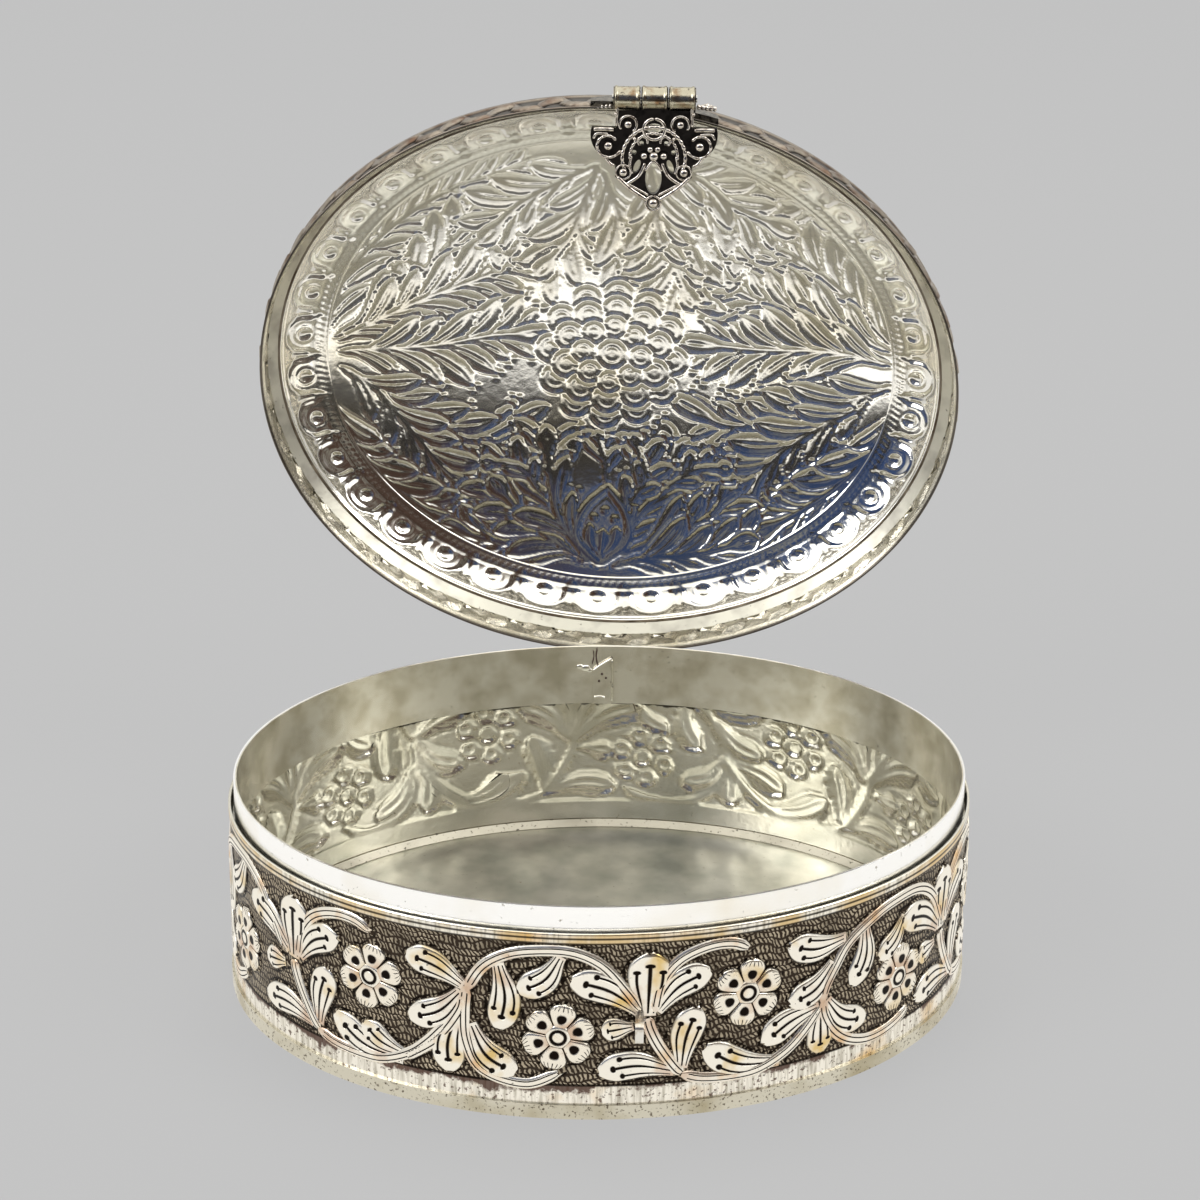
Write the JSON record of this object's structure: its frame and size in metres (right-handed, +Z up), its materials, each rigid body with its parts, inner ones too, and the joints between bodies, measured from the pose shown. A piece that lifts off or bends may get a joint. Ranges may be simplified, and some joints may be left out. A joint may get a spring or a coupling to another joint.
{
  "type": "oval hinged paan box",
  "caption": "Oval paan box of chased sheet metal with a domed rear-hinged lid, an inner collar, and a cast openwork hasp that drops over a staple.",
  "frame": {"origin": "centre of the oval underside, on the face that the box rests on", "axes": "+X to the box's right, +Y to its hinged back, +Z up; the lid stands open"},
  "size_m": [0.1776, 0.1807, 0.1888],
  "materials": {
    "chased_sheet": "silver-plated brass, chased and polished on dark oxidised ground",
    "base_sheet": "satin plated sheet",
    "collar_sheet": "satin plated sheet",
    "solder": "dull smoothed solder",
    "staple_strip": "polished plated strip",
    "hinge_casting": "plated casting, dark in its hollows",
    "pin_wire": "drawn wire",
    "blackened_casting": "blackened plated casting with polished high spots"
  },
  "bodies": {
    "box": {"base_plate": "base_sheet", "side_wall": "chased_sheet", "floor_seam": "solder", "inner_collar": "collar_sheet", "collar_lap": "collar_sheet", "staple": "staple_strip", "rear_hinge_body_leaf": "hinge_casting", "rear_hinge_pin": "pin_wire"},
    "lid": {"lid_band": "chased_sheet", "lid_dome": "chased_sheet", "lid_seam": "solder", "rear_hinge_lid_leaf": "hinge_casting", "hasp_plate": "blackened_casting", "hasp_pin": "pin_wire"},
    "hasp": {"hasp_leaf": "blackened_casting"}
  },
  "joints": [
    {"name": "lid_hinge", "type": "hinge", "parent": "box", "child": "lid", "pos_m": [0.0103, 0.0712, 0.0428], "axis": [-0.9954, 0.0963, 0], "range_deg": [-92, 0]},
    {"name": "hasp_hang", "type": "hinge", "parent": "lid", "child": "hasp", "pos_m": [0.01721, 0.07526, 0.1862], "axis": [-0.9954, 0.0963, 0], "range_deg": [0, 102]}
  ],
  "couplings": [
    {"joint": "hasp_hang", "follows": "lid_hinge", "ratio": -1.1087}
  ]
}
